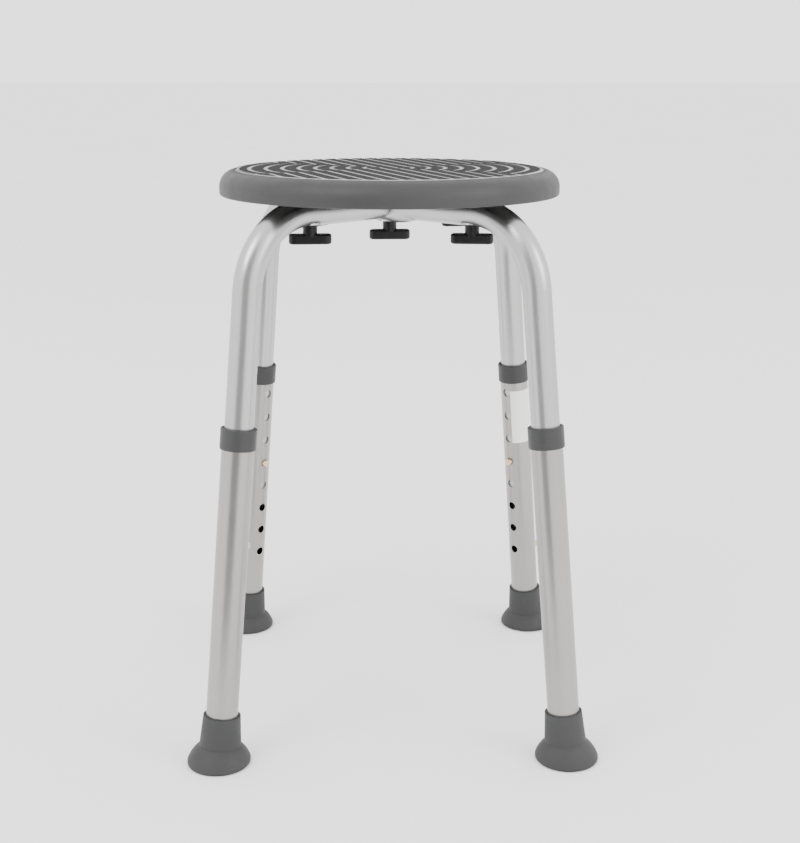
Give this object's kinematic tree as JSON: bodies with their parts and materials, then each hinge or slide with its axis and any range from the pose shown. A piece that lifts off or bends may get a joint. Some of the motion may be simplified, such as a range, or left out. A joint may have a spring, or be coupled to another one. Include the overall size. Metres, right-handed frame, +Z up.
{
  "type": "shower stool",
  "caption": "Round shower stool: ribbed grey seat on crossed bent tubes, telescopic legs with snap buttons, rubber feet and black clamping knobs.",
  "frame": {"origin": "on the floor, below the centre of the seat", "axes": "+Z up through the seat; -Y towards the front; the legs stand on the diagonals"},
  "size_m": [0.372, 0.372, 0.518],
  "materials": {
    "seat_plastic": "moulded grey plastic, fine texture",
    "insert_brass": "machined",
    "frame_aluminium": "satin anodised",
    "leg_aluminium": "satin anodised",
    "washer_steel": "zinc plated",
    "label_white": "blank printed film",
    "collar_plastic": "moulded grey plastic",
    "foot_rubber": "grey moulded rubber",
    "button_brass": "plated, slightly dull",
    "spring_steel": "tempered strip",
    "knob_plastic": "black moulded plastic",
    "stud_steel": "zinc plated"
  },
  "bodies": {
    "frame": {"seat": "seat_plastic", "seat_inserts": "insert_brass", "frame_upper_tube": "frame_aluminium", "frame_lower_tube": "frame_aluminium", "knob_washers": "washer_steel", "snap_spring_fl": "spring_steel", "snap_spring_fr": "spring_steel", "snap_spring_bl": "spring_steel", "snap_spring_br": "spring_steel"},
    "leg_fl": {"leg_fl": "leg_aluminium", "collar_fl": "collar_plastic", "foot_fl": "foot_rubber", "foot_washer_fl": "washer_steel"},
    "button_fl": {"snap_button_fl": "button_brass"},
    "leg_fr": {"leg_fr": "leg_aluminium", "collar_fr": "collar_plastic", "foot_fr": "foot_rubber", "foot_washer_fr": "washer_steel"},
    "button_fr": {"snap_button_fr": "button_brass"},
    "leg_bl": {"leg_bl": "leg_aluminium", "collar_bl": "collar_plastic", "foot_bl": "foot_rubber", "foot_washer_bl": "washer_steel"},
    "button_bl": {"snap_button_bl": "button_brass"},
    "leg_br": {"leg_br": "leg_aluminium", "collar_br": "collar_plastic", "foot_br": "foot_rubber", "foot_washer_br": "washer_steel", "leg_label": "label_white"},
    "button_br": {"snap_button_br": "button_brass"},
    "knob_centre": {"knob_centre": "knob_plastic", "stud_centre": "stud_steel"},
    "knob_fl": {"knob_fl": "knob_plastic", "stud_fl": "stud_steel"},
    "knob_fr": {"knob_fr": "knob_plastic", "stud_fr": "stud_steel"},
    "knob_bl": {"knob_bl": "knob_plastic", "stud_bl": "stud_steel"},
    "knob_br": {"knob_br": "knob_plastic", "stud_br": "stud_steel"}
  },
  "joints": [
    {"name": "leg_slide_fl", "type": "slide", "parent": "frame", "child": "leg_fl", "axis": [0.0788, 0.0788, 0.9938], "range_m": [-0.0777, 0.1036], "deforming": ["snap_button_fl", "snap_spring_fl"]},
    {"name": "button_press_fl", "type": "slide", "parent": "frame", "child": "button_fl", "axis": [-0.7027, -0.7027, 0.1115], "range_m": [0, 0.0064], "stiffness_N_per_m": 600},
    {"name": "leg_slide_fr", "type": "slide", "parent": "frame", "child": "leg_fr", "axis": [-0.0788, 0.0788, 0.9938], "range_m": [-0.0777, 0.1036], "deforming": ["snap_button_fr", "snap_spring_fr"]},
    {"name": "button_press_fr", "type": "slide", "parent": "frame", "child": "button_fr", "axis": [0.7027, -0.7027, 0.1115], "range_m": [0, 0.0064], "stiffness_N_per_m": 600},
    {"name": "leg_slide_bl", "type": "slide", "parent": "frame", "child": "leg_bl", "axis": [0.0788, -0.0788, 0.9938], "range_m": [-0.0777, 0.1036], "deforming": ["snap_button_bl", "snap_spring_bl"]},
    {"name": "button_press_bl", "type": "slide", "parent": "frame", "child": "button_bl", "axis": [-0.7027, 0.7027, 0.1115], "range_m": [0, 0.0064], "stiffness_N_per_m": 600},
    {"name": "leg_slide_br", "type": "slide", "parent": "frame", "child": "leg_br", "axis": [-0.0788, -0.0788, 0.9938], "range_m": [-0.0777, 0.1036], "deforming": ["snap_button_br", "snap_spring_br"]},
    {"name": "button_press_br", "type": "slide", "parent": "frame", "child": "button_br", "axis": [0.7027, 0.7027, 0.1115], "range_m": [0, 0.0064], "stiffness_N_per_m": 600},
    {"name": "knob_turn_centre", "type": "hinge", "parent": "frame", "child": "knob_centre", "pos_m": [0, 0, 0.4571], "axis": [0, 0, 1], "continuous": true},
    {"name": "knob_turn_fl", "type": "hinge", "parent": "frame", "child": "knob_fl", "pos_m": [-0.07159, -0.07159, 0.4571], "axis": [0, 0, 1], "continuous": true},
    {"name": "knob_turn_fr", "type": "hinge", "parent": "frame", "child": "knob_fr", "pos_m": [0.07159, -0.07159, 0.4571], "axis": [0, 0, 1], "continuous": true},
    {"name": "knob_turn_bl", "type": "hinge", "parent": "frame", "child": "knob_bl", "pos_m": [-0.07159, 0.07159, 0.4571], "axis": [0, 0, 1], "continuous": true},
    {"name": "knob_turn_br", "type": "hinge", "parent": "frame", "child": "knob_br", "pos_m": [0.07159, 0.07159, 0.4571], "axis": [0, 0, 1], "continuous": true}
  ]
}
